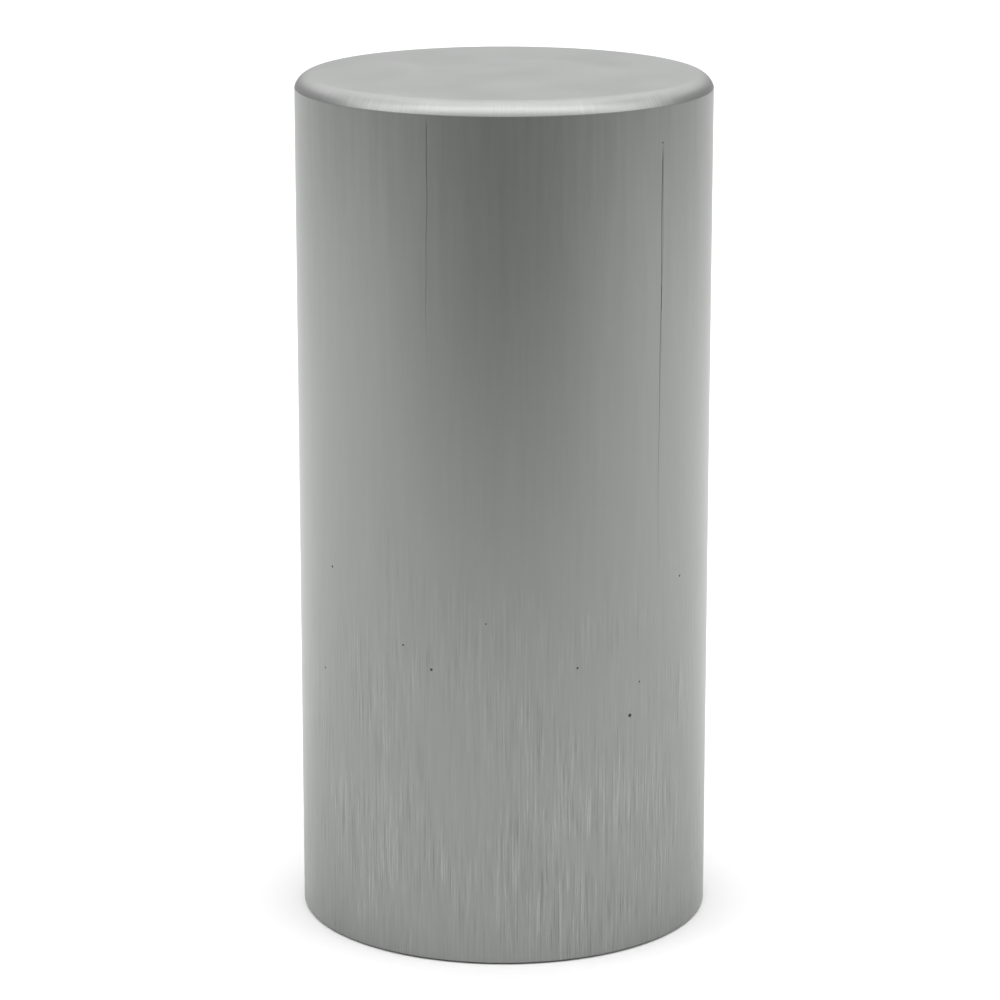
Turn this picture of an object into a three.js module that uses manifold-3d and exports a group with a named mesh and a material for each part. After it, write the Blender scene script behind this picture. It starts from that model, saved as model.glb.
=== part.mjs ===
// A pocket cryptex: a five-dial combination vault that stands under a plain drawn aluminium cover.
//
// How it comes apart, from the outside in:
//   - the cover, a deep-drawn can with a felt disc glued under its crown, lifts straight off;
//   - five numbered dials turn on a slotted barrel, each carrying a lock ring with one notch;
//   - a click washer over each dial holds it at one of ten stations, and a wave spring loads the stack;
//   - when all five notches face the barrel's slot, the vault's key bar can pass them, and the vault
//     (knob, tube and key bar) draws out of the top of the barrel.
//
// Millimetres, +Z up. The origin is on the table, at the centre of the foot. The key slot and the
// index dots face -Y. Run it with the npm packages three and manifold-3d.

import * as THREE from "three";
import { mergeVertices } from "three/addons/utils/BufferGeometryUtils.js";
import Module from "manifold-3d";

const wasm = await Module();
wasm.setup();

// ---------------------------------------------------------------- driving dimensions

// Cover
const COVER_DIAMETER = 56;
const COVER_HEIGHT = 116; // table to the top of the crown
const COVER_WALL = 1;
const COVER_CROWN = 1.2; // thickness of the closed end
const COVER_CORNER_RADIUS = 1.8; // outside, from the wall to the crown
const COVER_MOUTH_EASING = 0.25;
const CROWN_FELT_THICKNESS = 1;
const CROWN_FELT_MARGIN = 4; // from the cover's bore to the edge of its felt

// Foot and base
const FOOT_FELT_THICKNESS = 1.2;
const FOOT_FELT_STAND = 0.2; // how far the felt stands out of the base
const FOOT_FELT_MARGIN = 4.6; // from the base's outer face to the edge of its felt
const BASE_THICKNESS = 9.8;
const BARREL_REGISTER_DEPTH = 2; // how deep the barrel sits in the base
const O_RING_SECTION = 1.4;
const O_RING_STAND = 0.2; // how far the ring stands out of the base

// Dials, lock rings and the washers between them
const DIAL_COUNT = 5;
const STATIONS = 10; // one for each digit
const DIAL_WALL = 3.3;
const FLUTE_DEPTH = 0.8;
const FLUTE_WIDTH = 4;
const SPLINE_WIDTH = 3;
const SPLINE_HEIGHT = 1;
const LOCK_RING_WALL = 1.5; // round the channel that the keys turn in
const WASHER_THICKNESS = 0.8;
const WASHER_STEP = 1; // how far the washers stay inside the dials' outer face
const CLICK_BUMP_HEIGHT = 0.55;
const CLICK_BUMP_RADIUS = 1; // at its root
const CLICK_BUMP_TIP = 0.4; // radius of its tip
const CLICK_DIMPLE_DEPTH = 0.5;
const WAVE_SPRING_THICKNESS = 0.4;
const WAVE_SPRING_HEIGHT = 1.1;
const WAVE_SPRING_WAVES = 4;

// Collars
const LOWER_COLLAR_HEIGHT = 8;
const UPPER_COLLAR_HEIGHT = 9.6;
const EDGE_CHAMFER = 0.5; // on the collars, the base and the knob
const INDEX_DOT_DIAMETER = 2.4;
const INDEX_DOT_DEPTH = 3;
const INDEX_DOT_SINK = 0.05;

// Barrel and vault
const BARREL_WALL = 2;
const BARREL_FLOOR = 8;
const BARREL_SHORTFALL = 0.6; // the barrel's rim stays under the upper collar's top face
const KEYWAY_WIDTH = 3;
const KEYWAY_DEPTH = 0.8;
const BORE_FELT_THICKNESS = 0.7;
const VAULT_WALL = 2;
const VAULT_LIFT = 0.5; // between the tube's mouth and the felt in the bore
const KEY_WIDTH = 4;
const KEY_HEIGHT = 3.5;
const KEY_ENGAGEMENT = 1.6; // how far a key reaches past the barrel
const KEY_SEAT_GAP = 0.8; // between a key and the ends of its channel
const KEY_BAR_SEAT = 0.5; // depth of the flat on the tube
const KEY_BAR_THICKNESS = 2.5;
const KEY_BAR_END_GAP = 1; // between the key bar and the knob
const KNOB_HEIGHT = 15.8;
const KNOB_RIM_HEIGHT = 3.4; // each of the two rims
const KNOB_RIM_RADIUS = 1.2; // the rounding of its top edge
const KNOB_WAIST_DEPTH = 3;
const KNOB_SPIGOT_LENGTH = 6;
const KNOB_PIN_DIAMETER = 2;

// Fasteners
const BASE_SCREW_DIAMETER = 3;
const BASE_SCREW_HEAD = 5.6;
const BASE_SCREW_HEX = 2; // across the flats of its socket
const BASE_SCREW_BITE = 5; // thread in the barrel's floor
const BASE_SCREWS = 3;
const SCREW_EDGE_DISTANCE = 6; // from the barrel's bore to the screw circle
const SET_SCREW_DIAMETER = 3;
const SET_SCREW_HEX = 1.5;
const SET_SCREW_SOCKET = 2; // depth of its socket
const SET_SCREW_SINK = 0.6; // its outer end stays under the collar's face
const SET_SCREW_ANGLES = [45, 135]; // degrees from +X, on the side away from the index dots
const KEY_SCREW_DIAMETER = 1.6;
const KEY_SCREW_HEAD = 3;
const KEY_SCREW_SLOT_WIDTH = 0.4;
const KEY_SCREW_SLOT_DEPTH = 0.5;
const KEY_SCREWS = 3;

// Clearances
const RUNNING_GAP = 0.3; // round what turns or slides
const SEAT_GAP = 0.15; // round what is fixed in place
const THREAD_GAP = 0.1;
const COVER_GUIDE_GAP = 0.4; // between the cover's mouth and the base
const COVER_DIAL_GAP = 2; // between the cover and the dials

// Fineness of the faceted surfaces: a multiple of STATIONS, so that the facets repeat with the stations
const ROUND = 4 * STATIONS;
const FLUTE_ROUND = 16;
const SMALL_ROUND = 12;
const CLICK_ROUND = 6;
const CORNER_STEPS = 4;

// ---------------------------------------------------------------- radii, from the cover inwards

const coverOuter = COVER_DIAMETER / 2;
const coverInner = coverOuter - COVER_WALL;
const baseRadius = coverInner - COVER_GUIDE_GAP;
const dialOuter = coverInner - COVER_DIAL_GAP;
const dialBore = dialOuter - DIAL_WALL;
const lockRingOuter = dialBore - SEAT_GAP;
const channelRadius = lockRingOuter - LOCK_RING_WALL;
const keyTip = channelRadius - RUNNING_GAP;
const barrelOuter = keyTip - KEY_ENGAGEMENT;
const lockRingBore = barrelOuter + RUNNING_GAP;
const barrelBore = barrelOuter - BARREL_WALL;
const vaultOuter = barrelBore - RUNNING_GAP;
const vaultBore = vaultOuter - VAULT_WALL;
const collarBore = barrelOuter + SEAT_GAP;
const washerOuter = dialOuter - WASHER_STEP;
const crownFeltRadius = coverInner - CROWN_FELT_MARGIN;
const footFeltRadius = baseRadius - FOOT_FELT_MARGIN;
const screwCircle = barrelBore - SCREW_EDGE_DISTANCE;
const slotWidth = KEY_WIDTH + 2 * RUNNING_GAP;
const keyFlat = vaultOuter - KEY_BAR_SEAT; // distance of the key bar's seat from the axis

// ---------------------------------------------------------------- heights, from both ends of the stack

const baseBottom = FOOT_FELT_STAND;
const baseTop = baseBottom + BASE_THICKNESS;
const recessTop = FOOT_FELT_THICKNESS;
const barrelBottom = baseTop - BARREL_REGISTER_DEPTH;
const boreFloor = barrelBottom + BARREL_FLOOR;
const stackBottom = baseTop + LOWER_COLLAR_HEIGHT;
const crownUnderside = COVER_HEIGHT - COVER_CROWN;
const knobTop = crownUnderside - CROWN_FELT_THICKNESS;
const collarTop = knobTop - KNOB_HEIGHT;
const barrelTop = collarTop - BARREL_SHORTFALL;
const upperCollarBottom = collarTop - UPPER_COLLAR_HEIGHT;
const springRoom = WAVE_SPRING_HEIGHT + RUNNING_GAP;
const stackTop = upperCollarBottom - springRoom;
const dialPitch = (stackTop - stackBottom) / DIAL_COUNT;
const dialHeight = dialPitch - WASHER_THICKNESS - 2 * RUNNING_GAP;
const dialBottom = (i) => stackBottom + i * dialPitch + RUNNING_GAP;
const washerBottom = (i) => stackBottom + (i + 1) * dialPitch - WASHER_THICKNESS;
const vaultBottom = boreFloor + BORE_FELT_THICKNESS + VAULT_LIFT;
const keyBarBottom = stackBottom + RUNNING_GAP;
const keyBarTop = collarTop - KEY_BAR_END_GAP;
const spigotBottom = collarTop - KNOB_SPIGOT_LENGTH;

// ---------------------------------------------------------------- shaping helpers

const EPSILON = 0.5; // how far a cutting tool runs past the face that it cuts

/** A closed three.js geometry as a manifold-3d solid. */
function solidOf(geometry) {
  const bare = geometry.clone();
  bare.deleteAttribute("normal");
  bare.deleteAttribute("uv");
  const merged = mergeVertices(bare, 1e-4);
  return new wasm.Manifold(
    new wasm.Mesh({
      numProp: 3,
      vertProperties: new Float32Array(merged.getAttribute("position").array),
      triVerts: new Uint32Array(merged.index.array),
    }),
  );
}

/** A manifold-3d solid as a three.js geometry. */
function geometryOf(solid) {
  const { numProp, numVert, vertProperties, triVerts } = solid.getMesh();
  const position = new Float32Array(numVert * 3);
  for (let i = 0; i < numVert; i++) {
    position.set(vertProperties.subarray(i * numProp, i * numProp + 3), i * 3);
  }
  const geometry = new THREE.BufferGeometry();
  geometry.setAttribute("position", new THREE.BufferAttribute(position, 3));
  geometry.setIndex(new THREE.BufferAttribute(new Uint32Array(triVerts), 1));
  geometry.computeVertexNormals();
  return geometry;
}

/** geometry with every tool taken out of it. */
function cut(geometry, ...tools) {
  return geometryOf(tools.reduce((solid, tool) => solid.subtract(solidOf(tool)), solidOf(geometry)));
}

/** geometry with every addition joined to it. */
function join(geometry, ...additions) {
  return geometryOf(additions.reduce((solid, more) => solid.add(solidOf(more)), solidOf(geometry)));
}

/** A turned piece: a profile of [radius, height] points, counter-clockwise with the axis on the left. */
function turned(profile, segments = ROUND) {
  const points = profile.map(([r, z]) => new THREE.Vector2(r, z));
  return new THREE.LatheGeometry(points, segments).rotateX(Math.PI / 2);
}

/** A plain turned tube. */
function tube(inner, outer, bottom, top, segments = ROUND) {
  return turned(
    [[inner, bottom], [outer, bottom], [outer, top], [inner, top], [inner, bottom]],
    segments,
  );
}

/** A plain turned disc. */
function disc(radius, bottom, top, segments = ROUND) {
  return turned([[0, bottom], [radius, bottom], [radius, top], [0, top]], segments);
}

/** A quarter circle of profile points round [r, z], between two angles in degrees. */
function arc(r, z, radius, from, to) {
  return Array.from({ length: CORNER_STEPS + 1 }, (_, i) => {
    const angle = THREE.MathUtils.degToRad(from + ((to - from) * i) / CORNER_STEPS);
    return [r + radius * Math.cos(angle), z + radius * Math.sin(angle)];
  });
}

/** A box between two corners. */
function block(low, high) {
  const size = high.map((h, i) => h - low[i]);
  const middle = high.map((h, i) => (h + low[i]) / 2);
  return new THREE.BoxGeometry(...size).translate(...middle);
}

/** Turns a piece that was modelled along +X to point outwards at an angle, at a height. */
function radial(geometry, degrees, height) {
  return geometry.rotateZ(THREE.MathUtils.degToRad(degrees)).translate(0, 0, height);
}

/** A round bar along +X, from one distance to another. */
function barAlongX(radius, from, to, segments = SMALL_ROUND) {
  return new THREE.CylinderGeometry(radius, radius, to - from, segments)
    .rotateZ(-Math.PI / 2)
    .translate((from + to) / 2, 0, 0);
}

const FRONT = 270; // the direction of the slot and the index dots, in degrees from +X

// ---------------------------------------------------------------- materials

function metal(color, roughness) {
  return new THREE.MeshStandardMaterial({ color, roughness, metalness: 1 });
}

function matt(color, roughness) {
  return new THREE.MeshStandardMaterial({ color, roughness, metalness: 0 });
}

const drawnAluminium = metal(0xb9bcbc, 0.38);
const turnedAluminium = metal(0xc6c8c9, 0.3);
const lockAluminium = metal(0xaeb1b3, 0.4);
const brass = metal(0xc9a35a, 0.3);
const springSteel = metal(0x8f9296, 0.35);
const blackSteel = metal(0x2c2d2f, 0.45);
const felt = matt(0x2b2e33, 0.95);
const rubber = matt(0x1a1a1b, 0.8);

// ---------------------------------------------------------------- cover

/** The can: a straight wall drawn up to a rounded corner and a flat crown, its mouth trimmed and eased. */
function coverGeometry() {
  const corner = COVER_CORNER_RADIUS;
  const innerCorner = corner - COVER_WALL;
  return turned([
    [coverInner, baseBottom + COVER_MOUTH_EASING],
    [coverInner + COVER_MOUTH_EASING, baseBottom],
    [coverOuter - COVER_MOUTH_EASING, baseBottom],
    [coverOuter, baseBottom + COVER_MOUTH_EASING],
    ...arc(coverOuter - corner, COVER_HEIGHT - corner, corner, 0, 90),
    [0, COVER_HEIGHT],
    [0, crownUnderside],
    ...arc(coverInner - innerCorner, crownUnderside - innerCorner, innerCorner, 90, 0),
    [coverInner, baseBottom + COVER_MOUTH_EASING],
  ]);
}

/** The felt disc under the crown, which rests on the knob. */
function crownFeltGeometry() {
  return disc(crownFeltRadius, knobTop, crownUnderside);
}

// ---------------------------------------------------------------- foot and base

function footFeltGeometry() {
  return disc(footFeltRadius, 0, FOOT_FELT_THICKNESS);
}

const headDepth = (BASE_SCREW_HEAD - BASE_SCREW_DIAMETER) / 2; // a 90 degree countersink
const screwTop = barrelBottom + BASE_SCREW_BITE;

/** A countersunk screw pointing up, its head's face at height `bottom`. Grown by `gap`, it is its hole. */
function countersunk(radius, headRadius, bottom, top, gap = 0) {
  const depth = headRadius - radius;
  return turned(
    [
      [0, bottom - (gap ? EPSILON : 0)],
      [headRadius + gap, bottom - (gap ? EPSILON : 0)],
      [headRadius + gap, bottom + gap / 2],
      [radius + gap, bottom + depth + gap / 2],
      [radius + gap, top + gap],
      [0, top + gap],
    ],
    SMALL_ROUND,
  );
}

/** A hexagon socket `depth` deep, opening at z = 0 and pointing up. */
function hexSocket(acrossFlats, depth) {
  const radius = acrossFlats / Math.sqrt(3);
  return new THREE.CylinderGeometry(radius, radius, depth + EPSILON, 6)
    .rotateX(Math.PI / 2)
    .translate(0, 0, (depth - EPSILON) / 2);
}

const baseScrewSpots = Array.from({ length: BASE_SCREWS }, (_, i) => {
  const angle = THREE.MathUtils.degToRad(90 + (360 * i) / BASE_SCREWS);
  return [screwCircle * Math.cos(angle), screwCircle * Math.sin(angle)];
});

function baseScrewGeometry() {
  const screw = countersunk(BASE_SCREW_DIAMETER / 2, BASE_SCREW_HEAD / 2, 0, screwTop - recessTop);
  return cut(screw, hexSocket(BASE_SCREW_HEX, headDepth));
}

/** The holes for the base screws, as tools, through whatever they pass. */
function baseScrewHoles(gap) {
  return baseScrewSpots.map(([x, y]) =>
    countersunk(BASE_SCREW_DIAMETER / 2, BASE_SCREW_HEAD / 2, recessTop, screwTop, gap).translate(x, y, 0),
  );
}

const oRingGroove = O_RING_SECTION - O_RING_STAND + SEAT_GAP / 3; // depth
const oRingHeight = baseBottom + BASE_THICKNESS / 2;

function baseGeometry() {
  const grooveHalf = O_RING_SECTION / 2 + SEAT_GAP;
  const body = turned([
    [0, recessTop],
    [footFeltRadius + SEAT_GAP, recessTop],
    [footFeltRadius + SEAT_GAP, baseBottom],
    [baseRadius - EDGE_CHAMFER, baseBottom],
    [baseRadius, baseBottom + EDGE_CHAMFER],
    [baseRadius, oRingHeight - grooveHalf],
    [baseRadius - oRingGroove, oRingHeight - grooveHalf],
    [baseRadius - oRingGroove, oRingHeight + grooveHalf],
    [baseRadius, oRingHeight + grooveHalf],
    [baseRadius, baseTop - EDGE_CHAMFER],
    [baseRadius - EDGE_CHAMFER, baseTop],
    [collarBore, baseTop],
    [collarBore, barrelBottom],
    [0, barrelBottom],
  ]);
  return cut(body, ...baseScrewHoles(SEAT_GAP));
}

function oRingGeometry() {
  const section = O_RING_SECTION / 2;
  return new THREE.TorusGeometry(baseRadius + O_RING_STAND - section, section, 8, ROUND)
    .translate(0, 0, oRingHeight);
}

// ---------------------------------------------------------------- barrel

/** The slotted tube that the dials turn on, bored from the solid so that its lower end is closed. */
function barrelGeometry() {
  const body = turned([
    [0, barrelBottom],
    [barrelOuter, barrelBottom],
    [barrelOuter, barrelTop],
    [barrelBore, barrelTop],
    [barrelBore, boreFloor],
    [0, boreFloor],
  ]);
  const slot = block(
    [-slotWidth / 2, -barrelOuter - EPSILON, stackBottom],
    [slotWidth / 2, -barrelBore + EPSILON, barrelTop + EPSILON],
  );
  const keyway = block(
    [-KEYWAY_WIDTH / 2, barrelOuter - KEYWAY_DEPTH, stackBottom],
    [KEYWAY_WIDTH / 2, barrelOuter + EPSILON, barrelTop + EPSILON],
  );
  const tapped = baseScrewSpots.map(([x, y]) =>
    disc(BASE_SCREW_DIAMETER / 2 + THREAD_GAP, barrelBottom - EPSILON, screwTop + EPSILON, SMALL_ROUND)
      .translate(x, y, 0),
  );
  return cut(body, slot, keyway, ...tapped);
}

function boreFeltGeometry() {
  return disc(barrelBore - RUNNING_GAP, boreFloor, boreFloor + BORE_FELT_THICKNESS);
}

// ---------------------------------------------------------------- collars, their dots and set screws

const setScrewInner = barrelOuter + THREAD_GAP;
const setScrewOuter = dialOuter - SET_SCREW_SINK;

/** A collar: a chamfered ring with holes for its set screws and its index dot. */
function collarGeometry(bottom, top, ...tools) {
  const middle = (bottom + top) / 2;
  const body = turned([
    [collarBore, bottom],
    [dialOuter - EDGE_CHAMFER, bottom],
    [dialOuter, bottom + EDGE_CHAMFER],
    [dialOuter, top - EDGE_CHAMFER],
    [dialOuter - EDGE_CHAMFER, top],
    [collarBore, top],
    [collarBore, bottom],
  ]);
  const threads = SET_SCREW_ANGLES.map((degrees) =>
    radial(
      barAlongX(SET_SCREW_DIAMETER / 2 + THREAD_GAP, collarBore - EPSILON, dialOuter + EPSILON),
      degrees,
      middle,
    ),
  );
  const dotHole = radial(
    barAlongX(INDEX_DOT_DIAMETER / 2 + THREAD_GAP, dialOuter - INDEX_DOT_DEPTH, dialOuter + EPSILON),
    FRONT,
    middle,
  );
  return cut(body, ...threads, dotHole, ...tools);
}

/** The way through the upper collar for the keys. */
function keyPassage(bottom, top) {
  return block(
    [-slotWidth / 2, -channelRadius, bottom - EPSILON],
    [slotWidth / 2, -barrelBore, top + EPSILON],
  );
}

function indexDotGeometry() {
  const inner = dialOuter - INDEX_DOT_DEPTH + THREAD_GAP;
  return barAlongX(INDEX_DOT_DIAMETER / 2, inner, dialOuter - INDEX_DOT_SINK);
}

/** A grub screw along +X with its hexagon socket outwards. */
function setScrewGeometry() {
  const socket = hexSocket(SET_SCREW_HEX, SET_SCREW_SOCKET)
    .rotateY(-Math.PI / 2)
    .translate(setScrewOuter, 0, 0);
  return cut(barAlongX(SET_SCREW_DIAMETER / 2, setScrewInner, setScrewOuter), socket);
}

// ---------------------------------------------------------------- dials and lock rings

const stationAngle = (k) => FRONT + (360 / STATIONS) * k;

/** A dial: a ring with a spline groove behind each digit and a finger flute between digits. */
function dialGeometry() {
  const body = tube(dialBore, dialOuter, 0, dialHeight);
  const grooveWidth = SPLINE_WIDTH + 2 * SEAT_GAP;
  const fluteRadius = (FLUTE_WIDTH ** 2 / 4 + FLUTE_DEPTH ** 2) / (2 * FLUTE_DEPTH);
  const fluteLength = dialHeight + 2 * EPSILON;
  const tools = [];
  for (let k = 0; k < STATIONS; k++) {
    const groove = block(
      [dialBore - EPSILON, -grooveWidth / 2, -EPSILON],
      [dialBore + SPLINE_HEIGHT + SEAT_GAP, grooveWidth / 2, dialHeight + EPSILON],
    );
    const flute = new THREE.CylinderGeometry(fluteRadius, fluteRadius, fluteLength, FLUTE_ROUND)
      .rotateX(Math.PI / 2)
      .translate(dialOuter - FLUTE_DEPTH + fluteRadius, 0, dialHeight / 2);
    tools.push(radial(groove, stationAngle(k), 0), radial(flute, stationAngle(k + 0.5), 0));
  }
  return cut(body, ...tools);
}

const clickCircle = (lockRingBore + lockRingOuter) / 2;

/** A lock ring: channel below, lip with one notch above, a spline outside and click dimples on top. */
function lockRingGeometry() {
  const lipBottom = KEY_HEIGHT + 2 * KEY_SEAT_GAP;
  const body = turned([
    [channelRadius, 0],
    [lockRingOuter, 0],
    [lockRingOuter, dialHeight],
    [lockRingBore, dialHeight],
    [lockRingBore, lipBottom],
    [channelRadius, lipBottom],
    [channelRadius, 0],
  ]);
  const spline = block(
    [lockRingOuter - LOCK_RING_WALL / 2, -SPLINE_WIDTH / 2, 0],
    [dialBore + SPLINE_HEIGHT, SPLINE_WIDTH / 2, dialHeight],
  );
  const notch = block(
    [lockRingBore - EPSILON, -slotWidth / 2, lipBottom - EPSILON],
    [channelRadius, slotWidth / 2, dialHeight + EPSILON],
  );
  const dimples = Array.from({ length: STATIONS }, (_, k) => {
    const depth = CLICK_DIMPLE_DEPTH + EPSILON;
    const mouth = CLICK_BUMP_RADIUS + EPSILON;
    const floor = CLICK_BUMP_RADIUS - RUNNING_GAP;
    const dimple = new THREE.CylinderGeometry(mouth, floor, depth, CLICK_ROUND)
      .rotateX(Math.PI / 2)
      .translate(clickCircle, 0, dialHeight + EPSILON - depth / 2);
    return radial(dimple, stationAngle(k + 0.5), 0);
  });
  return cut(join(body, radial(spline, FRONT, 0)), radial(notch, FRONT, 0), ...dimples);
}

// ---------------------------------------------------------------- washers and wave spring

/** A click washer: a tab in the barrel's keyway, a gap for the keys and a bump that drops into a dimple. */
function clickWasherGeometry() {
  const body = tube(lockRingBore, washerOuter, 0, WASHER_THICKNESS);
  const tab = block(
    [barrelOuter - KEYWAY_DEPTH + RUNNING_GAP, -KEYWAY_WIDTH / 2 + RUNNING_GAP, 0],
    [lockRingBore + EPSILON, KEYWAY_WIDTH / 2 - RUNNING_GAP, WASHER_THICKNESS],
  );
  const gap = block(
    [lockRingBore - EPSILON, -slotWidth / 2, -EPSILON],
    [channelRadius, slotWidth / 2, WASHER_THICKNESS + EPSILON],
  );
  const root = WASHER_THICKNESS / 4; // how far the bump runs into the washer
  const depth = CLICK_BUMP_HEIGHT + root;
  const bump = new THREE.CylinderGeometry(CLICK_BUMP_RADIUS, CLICK_BUMP_TIP, depth, CLICK_ROUND)
    .rotateX(Math.PI / 2)
    .translate(clickCircle, 0, (root - CLICK_BUMP_HEIGHT) / 2);
  return cut(
    join(body, radial(tab, FRONT + 180, 0), radial(bump, stationAngle(2.5), 0)),
    radial(gap, FRONT, 0),
  );
}

/** A wave spring: a thin flat ring bent into waves. */
function waveSpringGeometry() {
  const ring = tube(channelRadius + RUNNING_GAP, washerOuter, 0, WAVE_SPRING_THICKNESS);
  const rise = (WAVE_SPRING_HEIGHT - WAVE_SPRING_THICKNESS) / 2;
  const position = ring.getAttribute("position");
  for (let i = 0; i < position.count; i++) {
    const angle = Math.atan2(position.getY(i), position.getX(i));
    position.setZ(i, position.getZ(i) + rise * (1 + Math.sin(WAVE_SPRING_WAVES * angle)));
  }
  return ring;
}

// ---------------------------------------------------------------- vault

const pinHeight = collarTop - KNOB_SPIGOT_LENGTH / 2;
const pinReach = vaultOuter + EPSILON;
const pinHole = () =>
  barAlongX(KNOB_PIN_DIAMETER / 2 + THREAD_GAP, -pinReach, pinReach).translate(0, 0, pinHeight);
const keyScrewHeights = Array.from(
  { length: KEY_SCREWS },
  (_, i) => stackBottom + ((i * (DIAL_COUNT - 1)) / (KEY_SCREWS - 1) + 1) * dialPitch - KEY_HEIGHT,
);
const keyScrewTip = vaultBore + SEAT_GAP;
const keyBarFace = keyFlat + KEY_BAR_THICKNESS;

/** A key screw's own shape along +X, head outwards, grown by `gap`. */
function keyScrew(gap = 0) {
  const length = keyBarFace - keyScrewTip;
  return countersunk(KEY_SCREW_DIAMETER / 2, KEY_SCREW_HEAD / 2, 0, length, gap)
    .rotateY(-Math.PI / 2)
    .translate(keyBarFace, 0, 0);
}

function keyScrewGeometry() {
  const slot = block(
    [keyBarFace - KEY_SCREW_SLOT_DEPTH, -KEY_SCREW_HEAD, -KEY_SCREW_SLOT_WIDTH / 2],
    [keyBarFace + EPSILON, KEY_SCREW_HEAD, KEY_SCREW_SLOT_WIDTH / 2],
  );
  return cut(keyScrew(), slot);
}

/** The vault tube: open at its lower end, with a flat for the key bar and holes for screws and pin. */
function vaultTubeGeometry() {
  const easing = VAULT_WALL / 5;
  const body = turned([
    [vaultBore + easing, vaultBottom],
    [vaultOuter - easing, vaultBottom],
    [vaultOuter, vaultBottom + easing],
    [vaultOuter, collarTop],
    [vaultBore, collarTop],
    [vaultBore, vaultBottom + easing],
    [vaultBore + easing, vaultBottom],
  ]);
  const flat = block(
    [-vaultOuter, -vaultOuter - EPSILON, vaultBottom - EPSILON],
    [vaultOuter, -keyFlat, keyBarTop],
  );
  const thread = KEY_SCREW_DIAMETER / 2 + THREAD_GAP;
  const threads = keyScrewHeights.map((z) =>
    radial(barAlongX(thread, vaultBore - EPSILON, vaultOuter + EPSILON), FRONT, z),
  );
  return cut(body, flat, ...threads, pinHole());
}

/** The key bar: a flat strip in the barrel's slot, with one key for each dial. */
function keyBarGeometry() {
  const outline = new THREE.Shape();
  outline.moveTo(keyFlat, keyBarBottom);
  outline.lineTo(keyBarFace, keyBarBottom);
  for (let i = 0; i < DIAL_COUNT; i++) {
    const low = dialBottom(i) + KEY_SEAT_GAP;
    const high = low + KEY_HEIGHT;
    outline.lineTo(keyBarFace, low);
    outline.lineTo(keyTip, low);
    outline.lineTo(keyTip, high - KEY_ENGAGEMENT / 3);
    outline.lineTo(keyTip - KEY_ENGAGEMENT / 3, high);
    outline.lineTo(keyBarFace, high);
  }
  outline.lineTo(keyBarFace, keyBarTop);
  outline.lineTo(keyFlat, keyBarTop);
  outline.closePath();
  const bar = new THREE.ExtrudeGeometry(outline, { depth: KEY_WIDTH, bevelEnabled: false })
    .translate(0, 0, -KEY_WIDTH / 2)
    .rotateX(Math.PI / 2);
  const holes = keyScrewHeights.map((z) => keyScrew(THREAD_GAP).translate(0, 0, z));
  return radial(cut(bar, ...holes), FRONT, 0);
}

/** The knob: a finger waist between two rims, and a spigot that the tube is pinned to. */
function knobGeometry() {
  const waistRadius = dialOuter - KNOB_WAIST_DEPTH;
  const flank = KNOB_RIM_HEIGHT + KNOB_WAIST_DEPTH / 2; // a rim and its slope down to the waist
  const edge = KNOB_RIM_RADIUS;
  const body = turned([
    [0, spigotBottom],
    [vaultBore - SEAT_GAP, spigotBottom],
    [vaultBore - SEAT_GAP, collarTop],
    [dialOuter - EDGE_CHAMFER, collarTop],
    [dialOuter, collarTop + EDGE_CHAMFER],
    [dialOuter, collarTop + KNOB_RIM_HEIGHT],
    [waistRadius, collarTop + flank],
    [waistRadius, knobTop - flank],
    [dialOuter, knobTop - KNOB_RIM_HEIGHT],
    ...arc(dialOuter - edge, knobTop - edge, edge, 0, 90),
    [0, knobTop],
  ]);
  return cut(body, pinHole());
}

function knobPinGeometry() {
  const reach = vaultOuter - SEAT_GAP;
  return barAlongX(KNOB_PIN_DIAMETER / 2, -reach, reach);
}

// ---------------------------------------------------------------- assembly

const cryptex = new THREE.Group();

/** Adds one named piece to a group, lifted to a height. */
function add(group, name, geometry, material, height = 0) {
  const mesh = new THREE.Mesh(geometry, material);
  mesh.name = name;
  mesh.position.z = height;
  group.add(mesh);
  return mesh;
}

// the standing part: foot, base, barrel, collars and washers
const standing = new THREE.Group();
cryptex.add(standing);
add(standing, "foot_felt", footFeltGeometry(), felt);
add(standing, "base_cap", baseGeometry(), turnedAluminium);
add(standing, "cover_o_ring", oRingGeometry(), rubber);
baseScrewSpots.forEach(([x, y], i) => {
  const screw = add(standing, `base_screw_${i + 1}`, baseScrewGeometry(), blackSteel, recessTop);
  screw.position.x = x;
  screw.position.y = y;
});
add(standing, "barrel", barrelGeometry(), lockAluminium);
add(standing, "bore_felt", boreFeltGeometry(), felt);
add(standing, "lower_collar", collarGeometry(baseTop, stackBottom), turnedAluminium);
add(
  standing,
  "upper_collar",
  collarGeometry(upperCollarBottom, collarTop, keyPassage(upperCollarBottom, collarTop)),
  turnedAluminium,
);
for (const [place, bottom, top] of [
  ["lower", baseTop, stackBottom],
  ["upper", upperCollarBottom, collarTop],
]) {
  const middle = (bottom + top) / 2;
  SET_SCREW_ANGLES.forEach((degrees, i) => {
    const screw = add(standing, `${place}_set_screw_${i + 1}`, setScrewGeometry(), blackSteel, middle);
    screw.rotation.z = THREE.MathUtils.degToRad(degrees);
  });
  const dot = add(standing, `${place}_index_dot`, indexDotGeometry(), brass, middle);
  dot.rotation.z = THREE.MathUtils.degToRad(FRONT);
}
for (let i = 0; i < DIAL_COUNT; i++) {
  add(standing, `click_washer_${i + 1}`, clickWasherGeometry(), springSteel, washerBottom(i));
}
add(standing, "wave_spring", waveSpringGeometry(), springSteel, stackTop + RUNNING_GAP / 2);

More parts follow.
